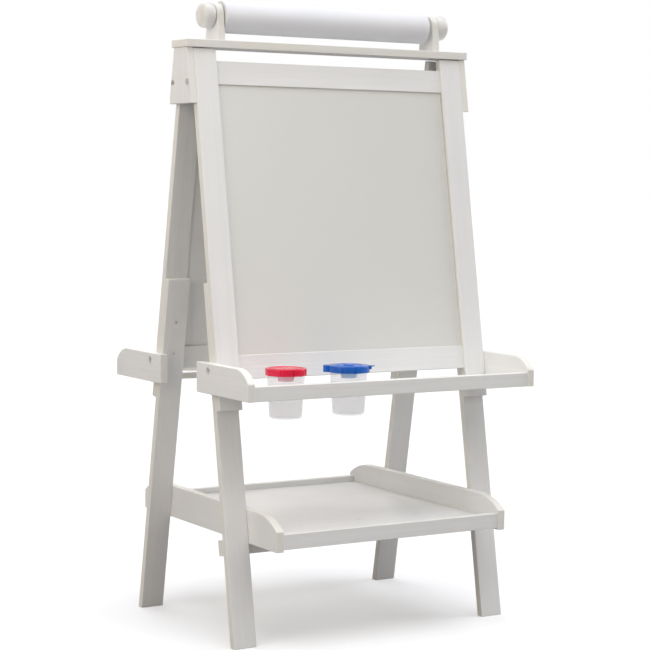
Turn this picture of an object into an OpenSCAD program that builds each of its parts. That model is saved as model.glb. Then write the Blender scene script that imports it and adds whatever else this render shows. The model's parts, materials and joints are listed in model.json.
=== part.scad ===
// Double-sided children's easel, white painted wood, with a paper roll on top, a paint-pot
// tray on each side and a shelf between the legs. Millimetres. The origin is on the floor
// under the middle of the easel, +Z is up and the whiteboard faces -Y.

/* [Main sizes] */
// Height of the underside of the top board above the floor
deck_z = 1106; // [1060:1:1150]
// Lean of each side away from the vertical, in degrees
lean = 9.9; // [9:0.1:10.5]
// Distance from the middle plane to each stile's face, at the top board
top_half = 26; // [25:0.5:28]
// Half of the width across the stiles
half_w = 302; // [285:1:320]
// Thickness of the boards
board_t = 15; // [14:0.5:16]

/* [Stiles and legs] */
// Width of the stiles and of the legs
stile_w = 47.5; // [42:0.5:50]
// Length of a stile below the top board
stile_len = 682.5; // [660:0.5:700]
// Distance along a stile from the top board to the top of the leg behind it
leg_top_d = 442; // [400:1:460]
// Gap between the top of a stile and the top board
stile_gap = 1.5; // [0.5:0.5:3]

/* [Drawing panels] */
// Width of the rails above and below a drawing board
rail_w = 45; // [40:1:50]
// Thickness of those rails
rail_t = 12; // [10:1:14]
// Distance that a rail's face is set back behind the stile's face
rail_recess = 5; // [3:0.5:6]
// Distance along a stile from the top board to the top rail
top_rail_d = 23.5; // [20:0.5:30]
// Distance along a stile from the top board to the bottom rail
bottom_rail_d = 580; // [560:1:585]
// Thickness of a drawing board
panel_t = 3.8; // [3:0.1:3.9]

/* [Top] */
// Thickness of each side plate
plate_t = 14; // [12:1:16]
// Height of a side plate's lower edge above the floor
plate_z = 1001; // [980:1:1010]
// Overhang of the top board beyond the side plates
deck_over_x = 2; // [0:1:6]
// Overhang of the top board in front of the stiles
deck_over_y = 6; // [2:1:8]

/* [Paper roll] */
// Distance of the roll's stand from the middle of the easel, towards +X
stand_x = 2.5; // [0:0.5:4]
// Distance from the middle of the roll's stand to each bracket's inner face
bracket_x = 236.5; // [233:0.5:238]
// Half of a bracket's depth where it stands on the top board
bracket_half = 27; // [24:1:28]
// Radius of a bracket's rounded top
bracket_r = 21; // [17:0.5:22]
// Height of the rounded top's centre above the top board
bracket_c = 50; // [48:0.5:54]
// Height of the dowel's axis above the top board
rod_h = 48; // [46:0.5:50]
// Radius of the dowel
rod_r = 10; // [8:0.5:11]
// Largest radius of a knob
knob_r = 24.5; // [22:0.5:27]
// Length of a knob
knob_len = 26.5; // [22:0.5:30]
// Outer radius of the paper roll
roll_r = 31; // [25:0.5:32]
// Length of the paper roll
roll_len = 461; // [420:1:462]

/* [Trays] */
// Thickness of a tray end
end_t = 15; // [14:1:18]
// Distance from the middle plane to a tray end's outer tip
end_tip_y = 277; // [265:1:280]
// Distance from the middle plane to a tray end's square inner edge
end_root_y = 76; // [70:1:90]
// Height of the trays' underside above the floor
tray_z = 464; // [455:1:475]
// Height of a tray end
end_h = 57; // [52:1:62]
// Height of a tray's front rail
tray_rail_h = 27; // [24:1:32]
// Thickness of a tray's base
tray_base_t = 12.5; // [10:0.5:14]
// Radius of a cup hole
cup_hole_r = 34; // [33.9:0.05:34.2]
// Distance from the tray's middle to the inner cup holes' centres
cup_inner_x = 59; // [57:1:66]
// Spacing of the two cup holes on one side
cup_pitch = 136; // [130:1:140]
// Distance from the middle plane to the cup holes' centres
cup_y = 199; // [196:0.5:202]

/* [Shelf] */
// Thickness of a shelf side
apron_t = 16; // [14:1:18]
// Distance from the middle plane to a shelf side's tip
apron_y = 274; // [260:1:280]
// Height of a shelf side's lower edge above the floor
apron_z = 187; // [180:1:190]
// Height of a shelf side
apron_h = 63; // [58:1:66]
// Height of the shelf's end rails
shelf_rail_h = 28.6; // [26:0.1:32]
// Height of the shelf base's underside above the floor
shelf_base_z = 195.5; // [193:0.5:197]
// Thickness of the shelf base
shelf_base_t = 12; // [10:0.5:14]
// Width of the battens under the shelf
batten_w = 30; // [26:1:32]
// Thickness of the front batten
batten_t = 18; // [15:1:20]

/* [Paint pots] */
// Height of a pot's foot above the ground
cup_z = 421.5; // [418:0.5:426]
// Outer radius of a pot at its foot
cup_foot_r = 30.6; // [29:0.1:31.5]
// Outer radius of a pot at its rim
cup_rim_r = 36.6; // [36.4:0.1:36.8]
// Height of a pot's rim above its foot
cup_h = 89; // [86:0.5:92]
// Wall of a pot
cup_wall = 1.6; // [1.2:0.1:2]
// Largest radius of the red lid
round_lid_r = 39.7; // [39.5:0.1:40.5]
// Reach of the blue lid's thumb lobe and tab
thumb_r = 48.5; // [46:0.5:50]

/* [Hidden] */
$fn = 96;
e = 1;
white = [0.93, 0.93, 0.90];
zinc = [0.72, 0.72, 0.70];
beech = [0.80, 0.66, 0.46];
pot_clear = [0.90, 0.91, 0.92];
pot_red = [0.85, 0.10, 0.18];
pot_blue = [0.05, 0.22, 0.62];

inner_x = half_w - stile_w;
mid_x = half_w - stile_w / 2;
plate_x = half_w + plate_t;
deck_x = plate_x + deck_over_x;
deck_y = top_half + deck_over_y;
deck_top = deck_z + board_t;
apron_x = inner_x - apron_t;
tray_x = half_w + end_t;
rail_inset = 2.5;
rail_y = end_tip_y - rail_inset;
shelf_rail_inset = 2;
shelf_rail_y = apron_y - shelf_rail_inset;
shelf_rail_up = 3.7;
shelf_rail_z = apron_z + shelf_rail_up;
end_drop = 25;
tray_end_run = 49;
shelf_side_run = 74;
far = 500;

// Panel: the boards sit in a groove, and the rails' tongues share it
groove_lip = 3;
groove_w = 4;
groove_y0 = rail_recess + groove_lip;
groove_y1 = groove_y0 + groove_w;
groove_depth = 6;
groove_slack = 0.2;
tongue_fit = 0.1;

// Paper roll: it hangs from the dowel inside its card core, with a little air above
rod_z = deck_top + rod_h;
rod_fit = 0.05;
hang_gap = 0.3;
core_slack = 3.3;
core_wall = 2;
core_in_r = rod_r + core_slack;
core_out_r = core_in_r + core_wall;
roll_z = rod_z - (core_in_r - rod_r - hang_gap);
roll_gap = 1.5;
roll_x = stand_x - bracket_x + roll_gap;
knob_c = 12;
knob_gap_left = 1;
knob_gap_right = 0.5;
socket_depth = 14;
bracket_out = bracket_x + board_t;

// Fasteners
bolt_r = 3;
bolt_len = 32;
head_r = 5.7;
head_h = 3.4;
hex_r = 2.3;
hex_depth = 2.4;
bore_r = 6.4;
bore_depth = 5;
insert_r = 4.5;
insert_len = 13;
screw_r = 1.9;
screw_head_r = 4.5;
screw_head_h = 2.8;
cross_len = 4.8;
cross_w = 1;
cross_depth = 1.6;
lap_screw = 25;
side_screw = 38;
batten_screw = 30;
deck_screw = 40;
bracket_screw = 35;
air = 0.05;
plate_bolt_d = 65.7;
tray_bolt_d = 606.7;
lap_screws_d = [528, 590];
peg_r = 3;
side_peg = 22;
rail_peg = 20;
leg_peg_r = 4;
leg_peg = 24;
leg_peg_d = 630;
leg_peg_skin = 2;
rail_peg_up = 16;
shelf_peg_up = 24;
leg_over = 60;
apron_screws_z = [216, 238];
batten_d = 919;
deck_screw_y = 13;
base_screws_x = [-130, 0, 130];
rear_batten_y = 168;
rear_batten_t = 8;
base_screw = shelf_base_t + rear_batten_t - 2;
cup_outer_x = cup_inner_x + cup_pitch;
cups_x = [-cup_outer_x, -cup_inner_x, cup_inner_x, cup_outer_x];
tray_links_x = [-264, -132, 0, 132, 264];
shelf_links_x = [-150, 0, 150];
shelf_links_y = [-200, 0, 200];
tray_side_links_y = [235, 163];

// Paint pots
foot_round = 5;
neck_len = 20;
neck_r = 14.5;
neck_wall = 1.5;
neck_fit = 0.8;
dish_foot_r = 18;
dish_foot_z = 11;
flange_t = 1.5;
lid_fit = 0.4;
lid_h = 12.5;
lid_roof_t = 1.6;
lobes = 10;
lobe_r = 14;
tab_w = 10;
tab_t = 1.6;
tab_drop = 7;
tab_root = 4;
tab_block = 3.5;
ring_w = 2.5;
ring_h = 1;
boss_r = 10;
boss_h = 2;
red_ring_r = round_lid_r - 8;
blue_ring_r = round_lid_r - 14;
thumb_lobe_r = 12;
lid_turn = -31;
cup_fit = 0.3;
cup_waist_r = cup_hole_r - cup_fit;
cup_waist_h = tray_z + tray_base_t - cup_z;
lid_roof_z = cup_z + cup_h + flange_t + lid_fit;
lid_top = lid_roof_z + lid_roof_t;
lid_z = lid_top - lid_h;

// ---------- placing helpers ----------

// A box between two corners
module box(lo, hi) {
    translate(lo)
    cube(hi - lo);
}

// Front parts are drawn for -Y; the rear ones are their mirror image
module on_side(side) {
    if (side < 0) children();
    else mirror([0, 1, 0]) children();
}

// Right-hand parts are drawn for +X; the left-hand ones are their mirror image
module on_hand(hand) {
    if (hand > 0) children();
    else mirror([1, 0, 0]) children();
}

// A leaning side's own frame: Y from the stile's face inwards, Z up along the stile,
// with its zero where the face meets the top board
module leaning(side) {
    on_side(side)
    translate([0, -top_half, deck_z])
    rotate([-lean, 0, 0])
    children();
}

// A profile drawn as (Y, Z), made t thick from x = x0 towards +X
module profile_x(x0, t) {
    translate([x0, 0, 0])
    rotate([90, 0, 90])
    linear_extrude(t)
    children();
}

// Turns a piece drawn along +Z to point along +X
module point_x() {
    rotate([0, 90, 0])
    children();
}

// Turns a piece drawn along +Z to point along +Y
module point_y() {
    rotate([-90, 0, 0])
    children();
}

// ---------- fasteners, each drawn with its head's seat at z = 0 and its shank towards +Z

module bolt() {
    difference() {
        union() {
            cylinder(r = bolt_r, h = bolt_len);
            translate([0, 0, -head_h])
            cylinder(r = head_r, h = head_h);
        }
        translate([0, 0, -head_h - e])
        cylinder(r = hex_r, h = hex_depth + e, $fn = 6);
    }
}

// The hole that a bolt needs, with its counterbore opening towards -Z
module bolt_hole() {
    translate([0, 0, -bore_depth - e])
    cylinder(r = bore_r, h = bore_depth + e);
    cylinder(r = bolt_r + air, h = bolt_len + 2);
}

module insert_sleeve() {
    difference() {
        cylinder(r = insert_r, h = insert_len);
        translate([0, 0, -e])
        cylinder(r = bolt_r + air, h = insert_len + 2 * e);
    }
}

module insert_hole() {
    translate([0, 0, -e])
    cylinder(r = insert_r + air, h = insert_len + air + e);
}

// Countersunk screw with a cross recess; z = 0 is the surface that it lies flush with
module screw(len) {
    difference() {
        union() {
            cylinder(r = screw_r, h = len);
            cylinder(r1 = screw_head_r, r2 = screw_r, h = screw_head_h);
        }
        for (turn = [0, 90])
            rotate([0, 0, turn])
            box([-cross_len / 2, -cross_w / 2, -e], [cross_len / 2, cross_w / 2, cross_depth]);
    }
}

module screw_hole(len) {
    cylinder(r = screw_r + air, h = len + air);
    cylinder(r1 = screw_head_r + air, r2 = screw_r + air, h = screw_head_h);
    translate([0, 0, -e])
    cylinder(r = screw_head_r + air, h = e);
}

module peg(r, len) {
    translate([0, 0, -len / 2])
    cylinder(r = r, h = len);
}

module peg_hole(r, len) {
    peg(r + air, len + 2 * air);
}

// ---------- where the fasteners sit ----------

// Plate and tray bolts run along X into a stile's outer edge
module at_edge_bolt(side, hand, d, seat_x) {
    leaning(side)
    on_hand(hand)
    translate([seat_x, board_t / 2, -d])
    rotate([0, -90, 0])
    children();
}

// Lap screws go through a leg's inner face into the stile
module at_lap_screws(side, hand) {
    for (d = lap_screws_d)
        leaning(side)
        on_hand(hand)
        translate([mid_x, 2 * board_t, -d])
        rotate([90, 0, 0])
        children();
}

// Big dowels join a leg's edge to the tray end
module at_leg_dowel(side, hand) {
    leaning(side)
    on_hand(hand)
    translate([half_w - leg_peg_skin, board_t * 1.5, -leg_peg_d])
    point_x()
    children();
}

// A leg's middle line at height z, in the vertical plane
function leg_mid_y(z) = -top_half - (deck_z - z) * tan(lean) + 1.5 * board_t / cos(lean);

// Shelf side screws go through the shelf side into a leg's inner edge
module at_shelf_side_screws(side, hand) {
    for (z = apron_screws_z)
        on_side(side)
        on_hand(hand)
        translate([apron_x, leg_mid_y(z), z])
        point_x()
        children();
}

// Screws through the front batten into the front legs
module at_batten_screws() {
    for (hand = [-1, 1])
        leaning(-1)
        on_hand(hand)
        translate([mid_x, 2 * board_t + batten_t, -batten_d - batten_w / 2])
        rotate([90, 0, 0])
        children();
}

// The batten's middle is where the shelf base's front screws go in
front_batten_mid_y = -top_half - batten_d * sin(lean)
    + (2 * board_t + batten_t / 2) * cos(lean);

module at_shelf_base_screws() {
    for (x = base_screws_x)
        for (y = [front_batten_mid_y, rear_batten_y + batten_w / 2])
            translate([x, y, shelf_base_z + shelf_base_t])
            mirror([0, 0, 1])
            children();
}

module at_top_board_screws() {
    for (x = [-1, 1] * (half_w + plate_t / 2))
        for (y = [-deck_screw_y, deck_screw_y])
            translate([x, y, deck_top])
            mirror([0, 0, 1])
            children();
}

module at_bracket_screws() {
    for (x = [-1, 1] * (bracket_x + board_t / 2))
        for (y = [-deck_screw_y, deck_screw_y])
            translate([stand_x + x, y, deck_z])
            children();
}

// Tray dowels: rail to ends, base to ends, and base to rail
module at_tray_end_dowels(side) {
    for (hand = [-1, 1])
        on_side(side)
        on_hand(hand)
        translate([half_w, 0, 0])
        point_x() {
            translate([-tray_z - rail_peg_up, -rail_y + board_t / 2, 0])
            children();
            for (y = tray_side_links_y)
                translate([-tray_z - tray_base_t / 2, -y, 0])
                children();
        }
}

module at_tray_rail_dowels(side) {
    for (x = tray_links_x)
        on_side(side)
        translate([x, -rail_y + board_t, tray_z + tray_base_t / 2])
        point_y()
        children();
}

// Shelf dowels: rails to sides, base to sides, and base to rails
module at_shelf_side_dowels(hand) {
    on_hand(hand)
    translate([apron_x, 0, 0])
    point_x() {
        for (y = [-1, 1] * (shelf_rail_y - board_t / 2))
            translate([-apron_z - shelf_peg_up, y, 0])
            children();
        for (y = shelf_links_y)
            translate([-shelf_base_z - shelf_base_t / 2, y, 0])
            children();
    }
}

module at_shelf_rail_dowels(side) {
    for (x = shelf_links_x)
        on_side(side)
        translate([x, -shelf_rail_y + board_t, shelf_base_z + shelf_base_t / 2])
        point_y()
        children();
}

// ---------- leaning sides ----------

module stile(side, hand) {
    color(white)
    difference() {
        leaning(side)
        on_hand(hand)
        difference() {
            box([inner_x, 0, -stile_len], [half_w, board_t, -stile_gap]);
            box([inner_x - e, groove_y0, -bottom_rail_d - rail_w],
                [inner_x + groove_depth + groove_slack, groove_y1, -top_rail_d]);
        }
        at_edge_bolt(side, hand, plate_bolt_d, plate_x - bore_depth) bolt_hole();
        at_edge_bolt(side, hand, plate_bolt_d, half_w) insert_hole();
        at_edge_bolt(side, hand, tray_bolt_d, tray_x - bore_depth) bolt_hole();
        at_edge_bolt(side, hand, tray_bolt_d, half_w) insert_hole();
        at_lap_screws(side, hand) screw_hole(lap_screw);
    }
}

module leg(side, hand) {
    color(white)
    difference() {
        leaning(side)
        on_hand(hand)
        box([inner_x, board_t, -deck_z - leg_over], [half_w, 2 * board_t, -leg_top_d]);
        box([-far, -far, -far], [far, far, 0]);
        at_lap_screws(side, hand) screw_hole(lap_screw);
        at_leg_dowel(side, hand) peg_hole(leg_peg_r, leg_peg);
        at_shelf_side_screws(side, hand) screw_hole(side_screw);
        at_batten_screws() screw_hole(batten_screw);
    }
}

module panel_rail(side, d, groove_d) {
    color(white)
    leaning(side)
    difference() {
        union() {
            box([-inner_x, rail_recess, -d - rail_w], [inner_x, rail_recess + rail_t, -d]);
            box([-inner_x - groove_depth, groove_y0 + tongue_fit, -d - rail_w + tongue_fit],
                [inner_x + groove_depth, groove_y1 - tongue_fit, -d - tongue_fit]);
        }
        box([-half_w, groove_y0, -groove_d - groove_depth - groove_slack],
            [half_w, groove_y1, -groove_d + groove_depth + groove_slack]);
    }
}

module drawing_board(side, tint) {
    color(tint)
    leaning(side)
    box([-inner_x - groove_depth, groove_y0 + tongue_fit, -bottom_rail_d - groove_depth],
        [inner_x + groove_depth, groove_y0 + tongue_fit + panel_t,
         -top_rail_d - rail_w + groove_depth]);
}

// ---------- top ----------

module side_plate(hand) {
    foot_half = top_half + (deck_z - plate_z) * tan(lean);
    color(white)
    difference() {
        on_hand(hand)
        profile_x(half_w, plate_t)
        polygon([[-foot_half, plate_z], [foot_half, plate_z], [top_half, deck_z],
                 [-top_half, deck_z]]);
        for (side = [-1, 1])
            at_edge_bolt(side, hand, plate_bolt_d, plate_x - bore_depth) bolt_hole();
        at_top_board_screws() screw_hole(deck_screw);
    }
}

module top_board() {
    color(white)
    difference() {
        box([-deck_x, -deck_y, deck_z], [deck_x, deck_y, deck_top]);
        at_top_board_screws() screw_hole(deck_screw);
        at_bracket_screws() screw_hole(bracket_screw);
    }
}

// A bracket narrows upwards and runs into its round top without a corner
module bracket_profile() {
    span = norm([bracket_half, bracket_c]);
    angle = acos(bracket_r / span) - atan2(bracket_c, bracket_half);
    touch = bracket_r * [cos(angle), sin(angle)];
    translate([0, deck_top + bracket_c])
    circle(r = bracket_r);
    translate([0, deck_top])
    polygon([[-bracket_half, 0], [bracket_half, 0], [touch[0], bracket_c + touch[1]],
             [-touch[0], bracket_c + touch[1]]]);
}

module roll_bracket(hand) {
    color(white)
    difference() {
        translate([stand_x, 0, 0])
        on_hand(hand)
        profile_x(bracket_x, board_t)
        bracket_profile();
        translate([-half_w, 0, rod_z])
        point_x()
        cylinder(r = rod_r + rod_fit, h = 2 * half_w);
        at_bracket_screws() screw_hole(bracket_screw);
    }
}

module dowel_rod() {
    left = bracket_out + knob_gap_left + socket_depth - 0.5;
    right = bracket_out + knob_gap_right + socket_depth - 0.5;
    color(beech)
    translate([stand_x - left, 0, rod_z])
    point_x()
    cylinder(r = rod_r, h = left + right);
}

// A knob is a thick disc with a bulging edge: a ball cut off at its foot and at its crown
module knob(hand, gap) {
    color(white)
    translate([stand_x, 0, 0])
    on_hand(hand)
    translate([bracket_out + gap, 0, rod_z])
    point_x()
    rotate_extrude()
    difference() {
        intersection() {
            translate([0, knob_c])
            circle(r = knob_r);
            square([knob_r, knob_len]);
        }
        translate([-e, -e])
        square([rod_r + rod_fit + e, socket_depth + e]);
    }
}

module roll_tube(r_in, r_out, len) {
    translate([roll_x, 0, roll_z])
    point_x()
    difference() {
        cylinder(r = r_out, h = len);
        translate([0, 0, -e])
        cylinder(r = r_in, h = len + 2 * e);
    }
}

module paper_roll() {
    color([0.95, 0.95, 0.97])
    roll_tube(core_out_r, roll_r, roll_len);
}

module roll_core() {
    color([0.62, 0.50, 0.38])
    roll_tube(core_in_r, core_out_r, roll_len);
}

// ---------- trays ----------

// Outline of a board end, drawn for -Y: tip to the left, its top corner rounded off by an
// arc that starts flat on the top edge, run long and end_drop deep
module end_outline(tip_y, root_y, z0, h, run) {
    r = (run * run + end_drop * end_drop) / (2 * end_drop);
    translate([-tip_y + run, z0])
    square([tip_y - root_y - run, h]);
    intersection() {
        translate([-tip_y, z0])
        square([run + e, h]);
        translate([-tip_y + run, z0 + h - r])
        circle(r = r, $fn = 180);
    }
}

module tray_end(side, hand) {
    color(white)
    difference() {
        on_side(side)
        on_hand(hand)
        profile_x(half_w, end_t)
        end_outline(end_tip_y, end_root_y, tray_z, end_h, tray_end_run);
        at_edge_bolt(side, hand, tray_bolt_d, tray_x - bore_depth) bolt_hole();
        at_leg_dowel(side, hand) peg_hole(leg_peg_r, leg_peg);
        at_tray_end_dowels(side) peg_hole(peg_r, side_peg);
    }
}

module tray_rail(side) {
    color(white)
    difference() {
        on_side(side)
        box([-half_w, -rail_y, tray_z], [half_w, -rail_y + board_t, tray_z + tray_rail_h]);
        at_tray_end_dowels(side) peg_hole(peg_r, side_peg);
        at_tray_rail_dowels(side) peg_hole(peg_r, rail_peg);
    }
}

module tray_base(side) {
    root_y = top_half + (deck_z - tray_z) * tan(lean);
    color(white)
    difference() {
        on_side(side)
        box([-half_w, -rail_y + board_t, tray_z], [half_w, -root_y, tray_z + tray_base_t]);
        for (x = cups_x)
            on_side(side)
            translate([x, -cup_y, tray_z - e])
            cylinder(r = cup_hole_r, h = tray_base_t + 2 * e);
        at_tray_end_dowels(side) peg_hole(peg_r, side_peg);
        at_tray_rail_dowels(side) peg_hole(peg_r, rail_peg);
    }
}

// ---------- shelf ----------

module shelf_side(hand) {
    color(white)
    difference() {
        on_hand(hand)
        profile_x(apron_x, apron_t) {
            end_outline(apron_y, 0, apron_z, apron_h, shelf_side_run);
            mirror([1, 0])
            end_outline(apron_y, 0, apron_z, apron_h, shelf_side_run);
        }
        front_batten_block(air);
        for (side = [-1, 1])
            at_shelf_side_screws(side, hand) screw_hole(side_screw);
        at_shelf_side_dowels(hand) peg_hole(peg_r, side_peg);
    }
}

module shelf_rail(side) {
    color(white)
    difference() {
        on_side(side)
        box([-apron_x, -shelf_rail_y, shelf_rail_z],
            [apron_x, -shelf_rail_y + board_t, shelf_rail_z + shelf_rail_h]);
        for (hand = [-1, 1])
            at_shelf_side_dowels(hand) peg_hole(peg_r, side_peg);
        at_shelf_rail_dowels(side) peg_hole(peg_r, rail_peg);
    }
}

module shelf_base() {
    y = shelf_rail_y - board_t;
    color(white)
    difference() {
        box([-apron_x, -y, shelf_base_z], [apron_x, y, shelf_base_z + shelf_base_t]);
        for (hand = [-1, 1])
            at_shelf_side_dowels(hand) peg_hole(peg_r, side_peg);
        for (side = [-1, 1])
            at_shelf_rail_dowels(side) peg_hole(peg_r, rail_peg);
        at_shelf_base_screws() screw_hole(base_screw);
    }
}

module front_batten_block(grow) {
    leaning(-1)
    box([-half_w, 2 * board_t - grow, -batten_d - batten_w - grow],
        [half_w, 2 * board_t + batten_t + grow, -batten_d + grow]);
}

module front_shelf_batten() {
    color(white)
    difference() {
        front_batten_block(0);
        at_batten_screws() screw_hole(batten_screw);
        at_shelf_base_screws() screw_hole(base_screw);
    }
}

// Lies flat, so that the shelf sides hide it
module rear_shelf_batten() {
    color(white)
    difference() {
        box([-apron_x, rear_batten_y, shelf_base_z - rear_batten_t],
            [apron_x, rear_batten_y + batten_w, shelf_base_z]);
        at_shelf_base_screws() screw_hole(base_screw);
    }
}

// ---------- fastener groups ----------

module side_plate_bolts() {
    color(zinc)
    for (side = [-1, 1])
        for (hand = [-1, 1])
            at_edge_bolt(side, hand, plate_bolt_d, plate_x - bore_depth) bolt();
}

module tray_bolts() {
    color(zinc)
    for (side = [-1, 1])
        for (hand = [-1, 1])
            at_edge_bolt(side, hand, tray_bolt_d, tray_x - bore_depth) bolt();
}

module threaded_inserts() {
    color([0.78, 0.62, 0.30])
    for (side = [-1, 1])
        for (hand = [-1, 1])
            for (d = [plate_bolt_d, tray_bolt_d])
                at_edge_bolt(side, hand, d, half_w) insert_sleeve();
}

module leg_lap_screws() {
    color(zinc)
    for (side = [-1, 1])
        for (hand = [-1, 1])
            at_lap_screws(side, hand) screw(lap_screw);
}

module shelf_side_screws() {
    color(zinc)
    for (side = [-1, 1])
        for (hand = [-1, 1])
            at_shelf_side_screws(side, hand) screw(side_screw);
}

module shelf_base_screws() {
    color(zinc)
    at_shelf_base_screws() screw(base_screw);
}

module batten_screws() {
    color(zinc)
    at_batten_screws() screw(batten_screw);
}

module top_board_screws() {
    color(zinc)
    at_top_board_screws() screw(deck_screw);
}

module bracket_screws() {
    color(zinc)
    at_bracket_screws() screw(bracket_screw);
}

module tray_dowels() {
    color(beech)
    for (side = [-1, 1]) {
        at_tray_end_dowels(side) peg(peg_r, side_peg);
        at_tray_rail_dowels(side) peg(peg_r, rail_peg);
        for (hand = [-1, 1])
            at_leg_dowel(side, hand) peg(leg_peg_r, leg_peg);
    }
}

module shelf_dowels() {
    color(beech)
    for (side = [-1, 1]) {
        at_shelf_side_dowels(side) peg(peg_r, side_peg);
        at_shelf_rail_dowels(side) peg(peg_r, rail_peg);
    }
}

// ---------- paint pots ----------

// Centre of a pot, in the hole with this number
module at_pot(i) {
    translate([cups_x[i], -cup_y, 0])
    children();
}

// Points of a quarter turn from straight down to straight out, about a centre (r, z)
function foot_arc(centre, radius) =
    [for (a = [-90 : 15 : 0]) centre + radius * [cos(a), sin(a)]];

// A pot widens slowly up to the tray, which it wedges in, and faster above it
module pot(i) {
    foot = foot_arc([cup_foot_r - foot_round, foot_round], foot_round);
    inner_foot = foot_arc([cup_foot_r - foot_round, foot_round], foot_round - cup_wall);
    inner_up = [for (k = [len(inner_foot) - 1 : -1 : 0]) inner_foot[k]];
    color(pot_clear)
    at_pot(i)
    translate([0, 0, cup_z])
    rotate_extrude()
    polygon(concat([[0, 0]], foot,
                   [[cup_waist_r, cup_waist_h], [cup_rim_r, cup_h], [cup_rim_r - cup_wall, cup_h],
                    [cup_waist_r - cup_wall, cup_waist_h]],
                   inner_up, [[0, cup_wall]]));
}

// A non-spill funnel rests on a pot's rim: a dish that runs into a short neck
module pot_funnel(i, tint) {
    dish_r = cup_rim_r - cup_wall;
    color(tint)
    at_pot(i)
    translate([0, 0, cup_z + cup_h - neck_len])
    rotate_extrude()
    polygon([[neck_r - neck_wall, 0], [neck_r, 0], [dish_foot_r, dish_foot_z],
             [dish_r - neck_fit, neck_len], [cup_rim_r, neck_len],
             [cup_rim_r, neck_len + flange_t], [dish_r - neck_wall, neck_len + flange_t],
             [dish_foot_r - neck_wall, dish_foot_z + 1]]);
}

// A lid without its hollow: equal lobes around a round skirt, with a low ring on the top.
// start turns the lobes, in lobes
module lid_body(rim_r, ring_r, start) {
    translate([0, 0, lid_z])
    cylinder(r = rim_r - 1, h = lid_h);
    for (k = [0 : lobes - 1])
        rotate([0, 0, (k + start) * 360 / lobes])
        translate([rim_r - lobe_r, 0, lid_z])
        cylinder(r = lobe_r, h = lid_h, $fn = 64);
    translate([0, 0, lid_top])
    cylinder(r = ring_r, h = ring_h);
}

// The shallow dish inside the ring on a lid's top
module lid_dish(dish_r) {
    translate([0, 0, lid_top])
    cylinder(r = dish_r, h = ring_h + e);
}

// The hollow under a lid, for the pot's rim
module lid_hollow() {
    translate([0, 0, lid_z - e])
    cylinder(r = cup_rim_r + lid_fit, h = lid_roof_z - lid_z + e);
}

module red_pot_lid() {
    color(pot_red)
    at_pot(0)
    difference() {
        lid_body(round_lid_r, red_ring_r, 0);
        lid_dish(red_ring_r - ring_w);
        lid_hollow();
    }
}

// The other lid has a wide thumb lobe, a pull tab across from it and a boss in the middle
module blue_pot_lid() {
    color(pot_blue)
    at_pot(1)
    rotate([0, 0, lid_turn])
    difference() {
        union() {
            difference() {
                lid_body(round_lid_r + 1, blue_ring_r, 0.5);
                lid_dish(blue_ring_r - ring_w);
            }
            translate([0, 0, lid_top - e])
            cylinder(r = boss_r, h = boss_h + e);
            translate([-thumb_r + thumb_lobe_r, 0, lid_z])
            cylinder(r = thumb_lobe_r, h = lid_h);
            box([round_lid_r - tab_root, -tab_w / 2, lid_top - tab_t], [thumb_r, tab_w / 2, lid_top]);
            box([round_lid_r - 1, -tab_w / 2, lid_top - tab_drop],
                [round_lid_r + tab_block, tab_w / 2, lid_top]);
        }
        lid_hollow();
    }
}

// ---------- assembly ----------

stile(-1, -1);  // front_left_stile
stile(-1, 1);  // front_right_stile
stile(1, -1);  // rear_left_stile
stile(1, 1);  // rear_right_stile
leg(-1, -1);  // front_left_leg
leg(-1, 1);  // front_right_leg
leg(1, -1);  // rear_left_leg
leg(1, 1);  // rear_right_leg
panel_rail(-1, top_rail_d, top_rail_d + rail_w);  // front_top_rail
panel_rail(-1, bottom_rail_d, bottom_rail_d);  // front_bottom_rail
panel_rail(1, top_rail_d, top_rail_d + rail_w);  // rear_top_rail
panel_rail(1, bottom_rail_d, bottom_rail_d);  // rear_bottom_rail
drawing_board(-1, [0.86, 0.86, 0.83]);  // whiteboard
drawing_board(1, [0.12, 0.13, 0.13]);  // chalkboard
side_plate(-1);  // left_side_plate
side_plate(1);  // right_side_plate
top_board();
roll_bracket(-1);  // left_roll_bracket
roll_bracket(1);  // right_roll_bracket
tray_end(-1, -1);  // front_tray_left_end
tray_end(-1, 1);  // front_tray_right_end
tray_rail(-1);  // front_tray_rail
tray_base(-1);  // front_tray_base
tray_end(1, -1);  // rear_tray_left_end
tray_end(1, 1);  // rear_tray_right_end
tray_rail(1);  // rear_tray_rail
tray_base(1);  // rear_tray_base
shelf_side(-1);  // left_shelf_side
shelf_side(1);  // right_shelf_side
shelf_rail(-1);  // front_shelf_rail
shelf_rail(1);  // rear_shelf_rail
shelf_base();
front_shelf_batten();
rear_shelf_batten();
side_plate_bolts();
tray_bolts();
threaded_inserts();
leg_lap_screws();
shelf_side_screws();
shelf_base_screws();
batten_screws();
top_board_screws();
bracket_screws();
tray_dowels();
shelf_dowels();
dowel_rod();
knob(-1, knob_gap_left);  // left_knob
knob(1, knob_gap_right);  // right_knob
paper_roll();
roll_core();
pot(0);  // red_pot
red_pot_lid();
pot_funnel(0, pot_red);  // red_pot_funnel
pot(1);  // blue_pot
blue_pot_lid();
pot_funnel(1, pot_blue);  // blue_pot_funnel
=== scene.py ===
# Looks for the double-sided children's easel: painted boards, a whiteboard and a chalkboard,
# a paper roll on its dowel, and two paint pots with lids. Metres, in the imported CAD's frame.
import json
import math
import random

import bmesh
import bpy
import numpy as np
from mathutils import Matrix, Vector


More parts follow.
